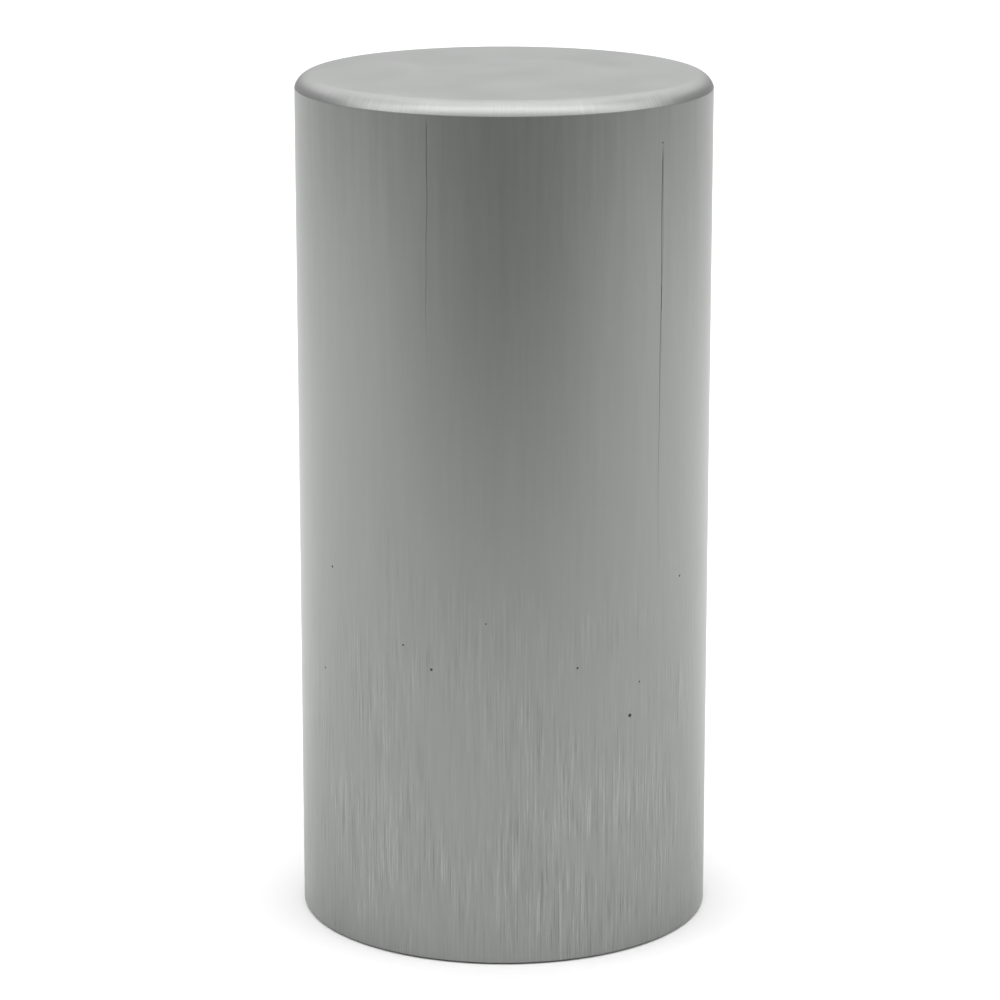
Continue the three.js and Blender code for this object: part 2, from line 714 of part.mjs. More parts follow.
// the dials, lowest first, each with its lock ring
for (let i = 0; i < DIAL_COUNT; i++) {
  add(cryptex, `dial_${i + 1}`, dialGeometry(), turnedAluminium, dialBottom(i));
  add(cryptex, `lock_ring_${i + 1}`, lockRingGeometry(), lockAluminium, dialBottom(i));
}

// the vault that draws out
const vault = new THREE.Group();
cryptex.add(vault);
add(vault, "vault_tube", vaultTubeGeometry(), brass);
add(vault, "key_bar", keyBarGeometry(), brass);
keyScrewHeights.forEach((z, i) => {
  const screw = add(vault, `key_screw_${i + 1}`, keyScrewGeometry(), blackSteel, z);
  screw.rotation.z = THREE.MathUtils.degToRad(FRONT);
});
add(vault, "vault_knob", knobGeometry(), turnedAluminium);
add(vault, "knob_pin", knobPinGeometry(), blackSteel, pinHeight);

// the cover that lifts off
const lid = new THREE.Group();
cryptex.add(lid);
add(lid, "cover", coverGeometry(), drawnAluminium);
add(lid, "crown_felt", crownFeltGeometry(), felt);

export default cryptex;
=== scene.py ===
"""A pocket cryptex under its drawn aluminium cover, dressed for rendering.

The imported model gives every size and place. Each section makes one piece, or one group of like pieces, from the
cover inwards. Metres, +Z up, the origin on the table at the centre of the foot.
"""

from math import ceil, cos, pi, radians, sin

import bmesh
import bpy
import numpy as np
from mathutils import Matrix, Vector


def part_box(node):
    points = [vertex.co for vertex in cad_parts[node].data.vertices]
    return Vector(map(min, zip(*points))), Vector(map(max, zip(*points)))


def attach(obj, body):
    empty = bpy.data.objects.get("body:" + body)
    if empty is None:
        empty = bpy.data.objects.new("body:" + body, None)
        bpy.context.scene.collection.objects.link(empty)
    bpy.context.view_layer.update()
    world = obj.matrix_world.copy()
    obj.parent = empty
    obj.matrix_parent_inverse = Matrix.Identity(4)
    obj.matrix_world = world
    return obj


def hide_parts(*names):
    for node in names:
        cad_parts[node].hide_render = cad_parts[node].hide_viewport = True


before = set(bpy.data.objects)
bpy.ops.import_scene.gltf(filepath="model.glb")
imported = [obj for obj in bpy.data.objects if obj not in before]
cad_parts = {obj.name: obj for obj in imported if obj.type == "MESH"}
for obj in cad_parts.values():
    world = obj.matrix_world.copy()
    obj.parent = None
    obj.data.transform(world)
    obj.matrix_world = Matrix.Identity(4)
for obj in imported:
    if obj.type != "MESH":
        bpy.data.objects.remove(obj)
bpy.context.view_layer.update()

# ---------------------------------------------------------------- cover
# A can deep-drawn from one blank of aluminium sheet and trimmed at its mouth, where it stands on the table. The
# punch and die leave fine upright draw lines on the wall, and the flat crown keeps the grey skin of the sheet.

MM = 0.001
cover_low, cover_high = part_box("cover")
cover_radius = cover_high.x
cover_wall = 1.0 * MM
cover_crown = 1.2 * MM
cover_corner = 1.8 * MM
mouth_easing = 0.22 * MM


def rounded(corners, loop=False, step=10, guard=0.12 * MM):
    """Profile points (r, z) from corners (r, z, radius). A corner is replaced by the arc that touches both of its
    sides, which starts radius * tan(turn / 2) from it, with a point for every `step` degrees. A guard point
    just outside each end of the arc keeps the flats next to it flat when they are shaded smooth."""
    places = np.array([corner[:2] for corner in corners], float)
    points = []
    for i, (r, z, radius) in enumerate(corners):
        here = places[i]
        if radius == 0 or (not loop and i in (0, len(corners) - 1)):
            points.append(here)
            continue
        back, ahead = places[i - 1] - here, places[(i + 1) % len(corners)] - here
        room = min(np.linalg.norm(back), np.linalg.norm(ahead))
        back, ahead = back / np.linalg.norm(back), ahead / np.linalg.norm(ahead)
        half = np.arccos(np.clip(back @ ahead, -1, 1)) / 2
        cut = radius / np.tan(half)
        centre = here + (back + ahead) / np.linalg.norm(back + ahead) * radius / np.sin(half)
        start, end = here + back * cut - centre, here + ahead * cut - centre
        first = np.arctan2(start[1], start[0])
        sweep = (np.arctan2(end[1], end[0]) - first + pi) % (2 * pi) - pi
        angles = first + sweep * np.linspace(0, 1, ceil(abs(sweep) / radians(step)) + 1)
        arc = centre + radius * np.stack([np.cos(angles), np.sin(angles)], axis=1)
        spare = min(guard, max(room / 2 - cut, 0) / 2)
        guards = [[here + side * (cut + spare)] if spare > 0 else [] for side in (back, ahead)]
        points += guards[0] + list(arc) + guards[1]
    return np.array(points)


def in_scene(name, data):
    """Puts a new object into the scene, which holds a mesh, text, a lamp or a camera."""
    thing = bpy.data.objects.new(name, data)
    bpy.context.scene.collection.objects.link(thing)
    return thing


def surface(name, grid, loop=False):
    """A skin over a grid of points, shape (rows, columns, 3). Each cell is a quad, the last column joins the first,
    and with `loop` the last row joins the first. Points that coincide are merged, and a quad that this
    leaves with three corners is a triangle, so a row on the axis closes to a pole. Its faces point outwards."""
    flat = grid.reshape(-1, 3)
    _, first, merged = np.unique(np.round(flat, 8), axis=0, return_index=True, return_inverse=True)
    index = merged.reshape(grid.shape[:2])
    low, high = (index, np.roll(index, -1, axis=0)) if loop else (index[:-1], index[1:])
    cells = np.stack([low, np.roll(low, -1, axis=1), np.roll(high, -1, axis=1), high], axis=-1)
    faces = [list(dict.fromkeys(cell)) for cell in cells.reshape(-1, 4).tolist()]
    mesh = bpy.data.meshes.new(name)
    mesh.from_pydata(flat[first], [], [face for face in faces if len(face) > 2])
    shell = bmesh.new()
    shell.from_mesh(mesh)
    if shell.calc_volume(signed=True) < 0:
        bmesh.ops.reverse_faces(shell, faces=shell.faces)
    shell.to_mesh(mesh)
    shell.free()
    return in_scene(name, mesh)


def smooth(piece, sharp=32):
    """Shades a piece smooth, with an edge that turns more than `sharp` degrees left crisp."""
    piece.data.polygons.foreach_set("use_smooth", np.ones(len(piece.data.polygons), bool))
    piece.data.set_sharp_from_angle(angle=radians(sharp))


def turned(name, profile, columns=256, loop=False, shape=None):
    """A turned piece: profile point (r, z) at angle a lies at (r cos a, r sin a, z), where shape(a, r, z) may first
    change r and z. With `loop` the profile closes on itself."""
    angle = np.arange(columns) / columns * 2 * pi
    r, z = profile[:, :1] + 0 * angle, profile[:, 1:] + 0 * angle
    if shape is not None:
        r, z = shape(angle + 0 * r, r, z)
    piece = surface(name, np.stack([r * np.cos(angle), r * np.sin(angle), z], axis=-1), loop)
    smooth(piece)
    return piece


def linear(colour):
    """A hex sRGB colour as linear RGBA: each channel c becomes ((c + 0.055) / 1.055) ** 2.4, or c / 12.92 where it is
    nearly black."""
    channels = [int(colour[i : i + 2], 16) / 255 for i in (1, 3, 5)]
    return [c / 12.92 if c <= 0.04045 else ((c + 0.055) / 1.055) ** 2.4 for c in channels] + [1]


def connect(node, inputs):
    """Sets the inputs of a node, given by name or in order. An output is linked to its input, a node is linked from
    the first of its outputs that is in use, and anything else is the input's value."""
    for name, value in inputs.items() if isinstance(inputs, dict) else enumerate(inputs):
        if isinstance(value, bpy.types.Node):
            value = next(socket for socket in value.outputs if socket.enabled)
        if isinstance(value, bpy.types.NodeSocket):
            node.id_data.links.new(value, node.inputs[name])
        else:
            node.inputs[name].default_value = value


def add(tree, kind, inputs=(), **settings):
    """Adds a node to a node tree, with its settings and its inputs."""
    node = tree.nodes.new(kind)
    for name, value in settings.items():
        setattr(node, name, value)
    connect(node, inputs)
    return node


def material(name, **values):
    """A material with a Principled surface. Returns the material, its tree and the surface's node."""
    made = bpy.data.materials.new(name)
    made.use_nodes = True
    skin = made.node_tree.nodes["Principled BSDF"]
    connect(skin, {socket.replace("_", " "): value for socket, value in values.items()})
    return made, made.node_tree, skin


def dress(skin, pattern, span, tones, roughness=None, relief=None):
    """Makes a skin follow a pattern: as the pattern's value crosses the span, the colour runs from the first tone to
    the second and the roughness from its first value to its second. `relief` is a height, a strength and a depth."""
    tree = skin.id_data
    level = add(tree, "ShaderNodeMapRange", [pattern, *span])
    tone = {"Factor": level, "A": linear(tones[0]), "B": linear(tones[1])}
    connect(skin, {"Base Color": add(tree, "ShaderNodeMix", tone, data_type="RGBA")})
    if roughness:
        connect(skin, {"Roughness": add(tree, "ShaderNodeMapRange", [pattern, *span, *roughness])})
    if relief:
        bump = dict(zip(("Height", "Strength", "Distance"), relief))
        connect(skin, {"Normal": add(tree, "ShaderNodeBump", bump)})


# Deep-drawn aluminium: a silky metal whose reflections spread sideways across the upright draw lines. The lines are
# finer and stronger towards the mouth, where the metal was drawn furthest.
drawn_aluminium, tree, skin = material("deep_drawn_aluminium", Metallic=1.0, Anisotropic=0.7)
place = add(tree, "ShaderNodeTexCoord").outputs["Object"]
flat_place = add(tree, "ShaderNodeVectorMath", [place, (1, 1, 0)], operation="MULTIPLY")
outwards = add(tree, "ShaderNodeVectorMath", [flat_place], operation="NORMALIZE")
rim_place = add(tree, "ShaderNodeVectorMath", {0: outwards, "Scale": cover_radius}, operation="SCALE")
height = add(tree, "ShaderNodeSeparateXYZ", [place]).outputs["Z"]


def draw_lines(spacing, length, detail=3.0):
    """Noise on the can's wall with features `spacing` wide around it and `length` tall."""
    up = add(tree, "ShaderNodeMath", [height, spacing / length], operation="MULTIPLY")
    lift = add(tree, "ShaderNodeCombineXYZ", {"Z": up})
    where = add(tree, "ShaderNodeVectorMath", [rim_place, lift], operation="ADD")
    noise = {"Vector": where, "Scale": 1 / spacing, "Detail": detail, "Roughness": 0.6}
    return add(tree, "ShaderNodeTexNoise", noise)


# A Map Range node maps a value from one range to another, or to 0 to 1 where only one is given, and holds it at the
# ends.
torn = draw_lines(0.21 * MM, 8 * MM, 2.0)
crests = add(tree, "ShaderNodeMapRange", [torn, 0.54, 0.68])
troughs = add(tree, "ShaderNodeMapRange", [torn, 0.46, 0.32])
fine_lines = add(tree, "ShaderNodeMath", [crests, troughs], operation="SUBTRACT")
patches = add(tree, "ShaderNodeTexNoise", {"Vector": place, "Scale": 1 / (11 * MM), "Detail": 2.0})
patchy = add(tree, "ShaderNodeMapRange", [patches, 0.4, 0.6, 0.3, 1.0])
drawn_far = add(tree, "ShaderNodeMapRange", [height, 62 * MM, 18 * MM, 0.07, 1.0])
strength = add(tree, "ShaderNodeMath", [drawn_far, patchy], operation="MULTIPLY")
torn_lines = add(tree, "ShaderNodeMath", [fine_lines, strength], operation="MULTIPLY")
smears = add(tree, "ShaderNodeMapRange", [draw_lines(1.1 * MM, 22 * MM), 0.3, 0.7, -1.0, 1.0])
near_crown = add(tree, "ShaderNodeMapRange", [height, 88 * MM, 113 * MM, 0.08, 0.2])
streaks = add(tree, "ShaderNodeMath", [smears, near_crown], operation="MULTIPLY")
grain_and_painted_light = add(tree, "ShaderNodeMath", [torn_lines, streaks], operation="ADD")
# Painted shade and painted highlight: the draw lines' troughs are darker and their crests lighter, as their slopes
# would be lit, over broad streaks in the metal's own tone.
dress(skin, grain_and_painted_light, (-1.0, 1.0), ("#797b79", "#9a9c9a"), roughness=(0.29, 0.27), relief=(grain_and_painted_light, 0.6, 0.01 * MM))
connect(skin, {"Tangent": add(tree, "ShaderNodeTangent", direction_type="RADIAL", axis="Z")})

# The grey skin of the rolled sheet, left on the crown and stretched over its corner: matt, with no direction.
sheet_aluminium, tree, skin = material("rolled_sheet_skin_aluminium", Metallic=1.0)
place = add(tree, "ShaderNodeTexCoord").outputs["Object"]
clouds = add(tree, "ShaderNodeTexNoise", {"Vector": place, "Scale": 1 / (9 * MM), "Detail": 3.0})
frost = add(tree, "ShaderNodeTexNoise", {"Vector": place, "Scale": 1 / (0.12 * MM), "Detail": 2.0})
flat_place = add(tree, "ShaderNodeVectorMath", [place, (1, 1, 0)], operation="MULTIPLY")
reach = add(tree, "ShaderNodeVectorMath", [flat_place], operation="LENGTH")
outwards = add(tree, "ShaderNodeVectorMath", [flat_place], operation="NORMALIZE")
# Fine radial lines on the corner, in patches, where the punch's edge dragged the sheet.
drag = {"Vector": outwards, "Scale": cover_radius / (0.25 * MM), "Detail": 2.0}
drag = add(tree, "ShaderNodeMapRange", [add(tree, "ShaderNodeTexNoise", drag), 0.3, 0.7, -0.6, 0.6])
on_corner = add(tree, "ShaderNodeMapRange", [reach, cover_radius - cover_corner, cover_radius - 0.6 * MM])
dragged = add(tree, "ShaderNodeMath", [drag, on_corner], operation="MULTIPLY")
patchy = add(tree, "ShaderNodeMapRange", [clouds, 0.46, 0.6, 0.1, 1.0])
dragged = add(tree, "ShaderNodeMath", [dragged, patchy], operation="MULTIPLY")
cloudy = add(tree, "ShaderNodeMapRange", [clouds, 0.35, 0.65, -0.3, 0.3])
mottle = add(tree, "ShaderNodeMath", [cloudy, dragged], operation="ADD")
frosted = add(tree, "ShaderNodeMath", [frost, dragged], operation="ADD")
dress(skin, mottle, (-1.0, 1.0), ("#7f817f", "#919291"), relief=(frosted, 0.35, 0.015 * MM))
connect(skin, {"Roughness": add(tree, "ShaderNodeMapRange", [clouds, 0.3, 0.7, 0.41, 0.45])})

inner_radius = cover_radius - cover_wall
inner_top = cover_high.z - cover_crown
# The sheet is stretched over the punch's corner in an arc that leans 74 degrees where it meets the wall, at a crisp
# edge left by the die. Where it leans t, it lies bend * sin(t) beyond the arc's centre and bend * (1 - cos(t)) down.
corner_lean = radians(74)
bend = cover_corner / (1 - cos(corner_lean))
leans = corner_lean * np.array([0.985, *np.linspace(0.96, 0, 14)])
arc_centre = cover_radius - bend * sin(corner_lean)
corner_arc = [(arc_centre + bend * sin(t), cover_high.z - bend * (1 - cos(t)), 0) for t in leans]
die_line = [(cover_radius, cover_high.z - cover_corner - below * MM, 0) for below in (0.05, 0)]
crown_rings = [(r * cover_radius, cover_high.z, 0) for r in (0.8, 0.6, 0.3, 0)]
cover_profile = rounded(
    [
        (0, inner_top, 0),
        (inner_radius, inner_top, cover_corner - cover_wall),
        (inner_radius, cover_low.z, mouth_easing),
        (cover_radius, cover_low.z, mouth_easing),
        *die_line,
        *corner_arc,
        *crown_rings,
    ],
    step=6,
)
cover = turned("cover_can", cover_profile, columns=512)
cover.data.materials.append(drawn_aluminium)
cover.data.materials.append(sheet_aluminium)
centres = np.empty(3 * len(cover.data.polygons))
cover.data.polygons.foreach_get("center", centres)
on_crown = centres[2::3] > cover_high.z - cover_corner
cover.data.polygons.foreach_set("material_index", on_crown.astype(np.int32))


def carved(piece, *tools, operation="DIFFERENCE"):
    """Cuts the tools out of a piece, or joins them to it, and takes the tools away. The faces that a tool leaves keep
    the tool's own material where it has one."""
    for tool in tools:
        step = piece.modifiers.new("cut", "BOOLEAN")
        step.object, step.operation, step.solver, step.material_mode = tool, operation, "EXACT", "TRANSFER"
    graph = bpy.context.evaluated_depsgraph_get()
    piece.data = bpy.data.meshes.new_from_object(piece.evaluated_get(graph), depsgraph=graph)
    piece.data.name = piece.name
    piece.modifiers.clear()
    if not any(piece.data.materials):
        piece.data.materials.clear()
        piece.data.polygons.foreach_set("material_index", np.zeros(len(piece.data.polygons), np.int32))
    smooth(piece)
    for tool in tools:
        bpy.data.objects.remove(tool)
    return piece


def moved(piece, x=0.0, y=0.0, z=0.0, turn=0.0, lay=False):
    """Moves a piece's own points: first, with `lay`, its +Z is laid along +X, then it is turned round +Z by `turn`
    degrees, then shifted."""
    lay_down = Matrix.Rotation(pi / 2, 4, "Y") if lay else Matrix.Identity(4)
    piece.data.transform(Matrix.Translation((x, y, z)) @ Matrix.Rotation(radians(turn), 4, "Z") @ lay_down)
    return piece


def scratch(turn, top, bottom, depth, width):
    """A tool for a scratch down the wall, `turn` degrees round from the front, between two heights in millimetres: a
    sliver with a V section whose point is sunk by depth * min(1, t / 0.04) * (1 - t) ** 0.7, where t runs from 0 at
    the top to 1 at the bottom. It wanders sideways by a tenth of a millimetre. A negative depth is a burr to add."""
    t = np.linspace(0, 1, 80)
    side, deep = np.sign(depth), abs(depth)
    sunk = (deep * np.minimum(1, t / 0.04) * (1 - t) ** 0.7 - 0.01) * MM
    angle = radians(turn - 90) + 0.1 * MM / cover_radius * (np.sin(7 * t) + 0.4 * np.sin(23 * t + 1))
    wide = side * width / 2 * MM * (sunk + 0.05 * MM) / (deep * MM + 0.05 * MM) / cover_radius
    base = cover_radius + side * 0.05 * MM + 0 * t
    reach = np.stack([cover_radius - side * sunk, base, base], axis=1)
    at = angle[:, None] + np.stack([0 * t, wide, -wide], axis=1)
    up = (top + (bottom - top) * t)[:, None] * MM + 0 * at
    grid = np.stack([reach * np.cos(at), reach * np.sin(at), up], axis=-1)
    ends = [np.repeat(row.mean(axis=0, keepdims=True), 3, axis=0)[None] for row in (grid[0], grid[-1])]
    return surface("scratch", np.concatenate([ends[0], grid, ends[1]]))


# A dark grey, crumbly fill with no gloss, in the long scratch and the pits, darker than the metal round them.
dark_fill, tree, skin = material("dark_scratch_and_pit_fill", Roughness=0.85)
place = add(tree, "ShaderNodeTexCoord").outputs["Object"]
crumbs = add(tree, "ShaderNodeTexNoise", {"Vector": place, "Scale": 1 / (0.05 * MM)})
tone = {"Factor": crumbs, "A": linear("#1c1c1a"), "B": linear("#4a4945")}
connect(skin, {"Base Color": add(tree, "ShaderNodeMix", tone, data_type="RGBA")})

# Handling marks: a long drawn-in scratch with a burr thrown up beside it, fainter ones, and tiny pits.
carved(cover, scratch(47.2, 109.7, 62, -0.07, 0.26), operation="UNION")
long_scratch = scratch(46.8, 109.4, 46, 0.08, 0.2)
long_scratch.data.materials.append(dark_fill)
marks = [long_scratch, scratch(-20.9, 113.9, 78, 0.08, 0.24)]
marks += [scratch(13.2, 112, 104, 0.03, 0.14), scratch(48.6, 36, 20, 0.03, 0.14), scratch(-33, 60, 22, 0.03, 0.14)]
marks += [scratch(152, 96, 55, 0.06, 0.25), scratch(228, 70, 30, 0.04, 0.16)]
for turn, up, size in (  # degrees round from the front, height and radius in millimetres
    (36.7, 33.2, 0.28), (-20.0, 40.7, 0.2), (20.2, 40.9, 0.17), (-54.9, 52.0, 0.18), (57.0, 50.5, 0.17),
    (-28.4, 43.6, 0.14), (-59.3, 37.4, 0.14), (40.0, 37.6, 0.14), (-4.9, 47.4, 0.12), (47.0, 109.5, 0.13),
    (131.0, 71.0, 0.2), (168.0, 38.0, 0.26), (213.0, 90.0, 0.18), (251.0, 27.0, 0.2),
):
    polar = np.linspace(-pi / 2, pi / 2, 9)
    pit = turned("pit", np.stack([np.cos(polar), np.sin(polar)], axis=1) * size * MM, columns=16)
    pit.data.materials.append(dark_fill)
    reach, angle = cover_radius + 0.4 * size * MM, radians(turn - 90)
    marks.append(moved(pit, reach * cos(angle), reach * sin(angle), up * MM))
carved(cover, *marks)
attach(cover, "cover_unit")
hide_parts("cover")

# ---------------------------------------------------------------- felt discs
# Pressed wool felt, die-cut to discs and glued in place: one under the crown to cushion the knob, one in the recess
# of the base to stand on, and a thin one on the floor of the barrel's bore. Their faces are never quite flat.

# Matted wool in two greys: a dull, hairy surface with no weave. The lighter grey is a painted highlight, where the
# pile stands up.
felt, tree, skin = material("pressed_wool_felt", Roughness=0.95, Sheen_Weight=0.35, Sheen_Roughness=0.5)
place = add(tree, "ShaderNodeTexCoord").outputs["Object"]
swirl = {"Vector": place, "Scale": 1 / (0.5 * MM), "Detail": 5.0, "Roughness": 0.75, "Distortion": 2.5}
fibres = add(tree, "ShaderNodeTexNoise", swirl)
tufts = add(tree, "ShaderNodeTexNoise", {"Vector": place, "Scale": 1 / (3 * MM), "Detail": 2.0})
half_tufts = add(tree, "ShaderNodeMath", [tufts, 0.5], operation="MULTIPLY")
pile = add(tree, "ShaderNodeMath", [fibres, half_tufts], operation="ADD")
# Painted highlight: the colour follows the same fibres that raise the pile, lighter where they stand up.
dress(skin, fibres, (0.3, 0.7), ("#1f2125", "#474b52"), relief=(pile, 0.8, 0.15 * MM))


def ripple(x, y, wave, seed):
    """An uneven height between -1 and 1: the mean of 32 plane waves sin(k . p + phase), each with its own direction,
    a length between `wave` and three times that, and a phase, all drawn from a seeded generator."""
    random = np.random.default_rng(seed)
    way, phase = random.uniform(0, 2 * pi, (2, 32))
    k = 2 * pi / (wave * random.uniform(1, 3, 32))
    at = x[..., None] * (k * np.cos(way)) + y[..., None] * (k * np.sin(way)) + phase
    return np.clip(np.sin(at).mean(axis=-1) * 3, -1, 1)


for seed, (node, name, body) in enumerate(
    (
        ("crown_felt", "crown_felt_disc", "cover_unit"),
        ("foot_felt", "foot_felt_disc", "standing_part"),
        ("bore_felt", "bore_felt_disc", "standing_part"),
    )
):
    low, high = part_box(node)
    steps = [(r, z, 0) for z in (low.z, high.z) for r in np.linspace(0, high.x - 0.6 * MM, 40)]
    edge = 0.22 * MM
    outline = steps[:40] + [(high.x, low.z, edge), (high.x, high.z, edge)] + steps[40:][::-1]

    def pressed(a, r, z, middle=(low.z + high.z) / 2, seed=seed):
        """Draws both faces in by up to 0.06 mm and the edge in by up to 0.1 mm, unevenly."""
        x, y = r * np.cos(a), r * np.sin(a)
        face = 0.03 * MM * (1 + ripple(x, y, 2.5 * MM, seed)) * np.sign(middle - z)
        ragged = 0.05 * MM * (1 + ripple(20 * MM * np.cos(a), 20 * MM * np.sin(a), 0.8 * MM, seed + 9))
        return r - ragged * (r > 0.9 * r.max()), z + face

    disc = turned(name, rounded(outline), columns=360, shape=pressed)
    disc.data.materials.append(felt)
    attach(disc, body)
    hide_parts(node)

# ---------------------------------------------------------------- base cap
# The foot of the cryptex, turned from aluminium bar: a recess below for the felt, a groove for the ring that grips
# the cover, and three countersunk holes for the screws that hold the barrel.

# Turned aluminium, clear anodised: fine tool rings round the axis, so its reflections spread across the rings.
turned_aluminium, _, skin = material(
    "turned_clear_anodised_aluminium", Metallic=1.0, Anisotropic=0.45, Anisotropic_Rotation=0.25
)


def tool_rings(skin, spacing, tones, roughness, depth):
    """Rings round +Z, which follow the distance from the axis and the height, in a metal's tone, gloss and relief."""
    tree = skin.id_data
    place = add(tree, "ShaderNodeTexCoord").outputs["Object"]
    flat = add(tree, "ShaderNodeVectorMath", [place, (1, 1, 0)], operation="MULTIPLY")
    reach = add(tree, "ShaderNodeVectorMath", [flat], operation="LENGTH")
    up = add(tree, "ShaderNodeSeparateXYZ", [place]).outputs["Z"]
    across = add(tree, "ShaderNodeCombineXYZ", {"X": reach, "Y": up})
    fine = {"Vector": across, "Scale": 1 / spacing, "Detail": 3.0, "Roughness": 0.6}
    fine = add(tree, "ShaderNodeTexNoise", fine)
    broad = add(tree, "ShaderNodeTexNoise", {"Vector": across, "Scale": 1 / (14 * spacing)})
    smears = {"Vector": place, "Scale": 1 / (7 * MM), "Detail": 4.0, "Distortion": 0.6}
    smears = add(tree, "ShaderNodeTexNoise", smears)
    worn = add(tree, "ShaderNodeMath", [broad, smears], operation="ADD")
    dress(skin, worn, (0.8, 1.2), tones, roughness, relief=(fine, 0.35, depth))
    connect(skin, {"Tangent": add(tree, "ShaderNodeTangent", direction_type="RADIAL", axis="Z")})


tool_rings(skin, 0.12 * MM, ("#a6a9ab", "#aeb0b1"), (0.28, 0.32), 0.008 * MM)


def millimetres(*corners):
    """Profile corners given in millimetres, in metres."""
    return [tuple(value * MM for value in corner) for corner in corners]


front = 270  # degrees round from +X; the back is at 90
screw_turns = (90, 210, 330)
screw_circle = 10.15 * MM
recess_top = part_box("foot_felt")[1].z
barrel_seat = 18.3  # the radius of the register, and of the collars' bores, round the barrel
outline = millimetres(
    (0, 1.2, 0), (22.15, 1.2, 0.1), (22.15, 0.2, 0.1), (26.1, 0.2, 0.15), (26.6, 0.7, 0.15),
    (26.6, 4.25, 0.1), (25.35, 4.25, 0.1), (25.35, 5.95, 0.1), (26.6, 5.95, 0.1), (26.6, 9.5, 0.15),
    (26.1, 10, 0.15), (barrel_seat, 10, 0.12), (barrel_seat, 8, 0), (0, 8, 0),
)
base_cap = turned("base_cap_turned", rounded(outline, guard=0.06 * MM))
hole_outline = millimetres((0, 0, 0), (3.02, 0, 0), (3.02, 0.8, 0), (1.65, 2.17, 0), (1.65, 9, 0), (0, 9, 0))
for turn in screw_turns:
    hole = turned("hole", rounded(hole_outline), columns=96)
    angle = radians(turn)
    carved(base_cap, moved(hole, screw_circle * cos(angle), screw_circle * sin(angle), 0.6 * MM))
base_cap.data.materials.append(turned_aluminium)
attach(base_cap, "standing_part")
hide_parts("base_cap")

# ---------------------------------------------------------------- cover O-ring
# A moulded ring of nitrile rubber in the base's groove, with the fine flash line of its mould on both sides. It
# stands slightly proud, so the cover slides over it snugly.

# Black rubber: soft gloss, clouded by a grey bloom, with the fine grain of the mould.
rubber, tree, skin = material("nitrile_rubber", Specular_IOR_Level=0.4)
place = add(tree, "ShaderNodeTexCoord").outputs["Object"]
bloom = {"Vector": place, "Scale": 1 / (4 * MM), "Detail": 4.0, "Roughness": 0.6}
bloom = add(tree, "ShaderNodeTexNoise", bloom)
specks = add(tree, "ShaderNodeTexNoise", {"Vector": place, "Scale": 1 / (0.15 * MM), "Detail": 2.0})
dress(skin, bloom, (0.4, 0.7), ("#171718", "#2a2a2b"), (0.5, 0.72), relief=(specks, 0.3, 0.02 * MM))

ring_low, ring_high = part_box("cover_o_ring")
ring_half = (ring_high.z - ring_low.z) / 2
around = np.arange(36) / 36 * 2 * pi
flash = 0.03 * MM
# The section is a circle that stands out by flash * exp(-(sin a / 0.12) ** 2) at the two ends of its level diameter.
section_radius = ring_half - flash + flash * np.exp(-((np.sin(around) / 0.12) ** 2))
section = np.stack(
    [
        ring_high.x - ring_half + section_radius * np.cos(around),
        (ring_low.z + ring_high.z) / 2 + section_radius * np.sin(around),
    ],
    axis=1,
)
o_ring = turned("o_ring_moulded", section, columns=320, loop=True)
o_ring.data.materials.append(rubber)
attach(o_ring, "standing_part")
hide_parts("cover_o_ring")

# ---------------------------------------------------------------- base screws
# Three countersunk steel machine screws with hexagon sockets, blackened, their heads flush with the floor of the
# recess. The foot's felt hides them.

# Blackened steel: a dark, satin metal, a little uneven where the oxide is thin.
black_steel, tree, skin = material("black_oxide_steel", Metallic=1.0)
place = add(tree, "ShaderNodeTexCoord").outputs["Object"]
mottle = {"Vector": place, "Scale": 1 / (1.2 * MM), "Detail": 4.0, "Roughness": 0.6}
mottle = add(tree, "ShaderNodeTexNoise", mottle)
dress(skin, mottle, (0.35, 0.65), ("#232427", "#3b3c3f"), (0.38, 0.52), relief=(mottle, 0.2, 0.01 * MM))


def hexagon(across_flats, depth):
    """A hexagonal prism from z = -depth to just over 0, as a tool for a socket."""
    angle = radians(30) + np.arange(6) * pi / 3
    ring = across_flats / 2 / cos(pi / 6) * np.stack([np.cos(angle), np.sin(angle)], axis=1)
    spots = [(*place, z) for z in (-depth, 0.5 * MM) for place in ring]
    sides = [(i, (i + 1) % 6, (i + 1) % 6 + 6, i + 6) for i in range(6)]
    mesh = bpy.data.meshes.new("socket")
    mesh.from_pydata(spots, [], sides + [tuple(range(5, -1, -1)), tuple(range(6, 12))])
    return in_scene("socket", mesh)


# Each is drawn head down, with its socket cut from below.
outline = millimetres((0, 11.8, 0), (1.5, 11.8, 0.3), (1.5, 1.3, 0.1), (2.8, 0, 0.06), (0, 0, 0))
for number, turn in enumerate(screw_turns, start=1):
    screw = turned(f"base_screw_{number}_csk", rounded(outline), columns=96)
    socket = hexagon(2 * MM, 1.3 * MM)
    socket.data.transform(Matrix.Rotation(pi, 4, "X"))
    carved(screw, socket)
    angle = radians(turn)
    moved(screw, screw_circle * cos(angle), screw_circle * sin(angle), recess_top)
    screw.data.materials.append(black_steel)
    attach(screw, "standing_part")
    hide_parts(f"base_screw_{number}")

# ---------------------------------------------------------------- barrel
# The tube that the dials turn on, bored from the solid, with its floor left in. A milled slot at the front takes the
# keys, and a shallow keyway at the back holds the click washers' tabs.

# Machined aluminium, bare: coarser tool rings and a duller grey than the outside pieces.
lock_aluminium, _, skin = material(
    "machined_bare_aluminium", Metallic=1.0, Anisotropic=0.3, Anisotropic_Rotation=0.25
)
tool_rings(skin, 0.22 * MM, ("#8f9294", "#9b9d9f"), (0.35, 0.42), 0.015 * MM)


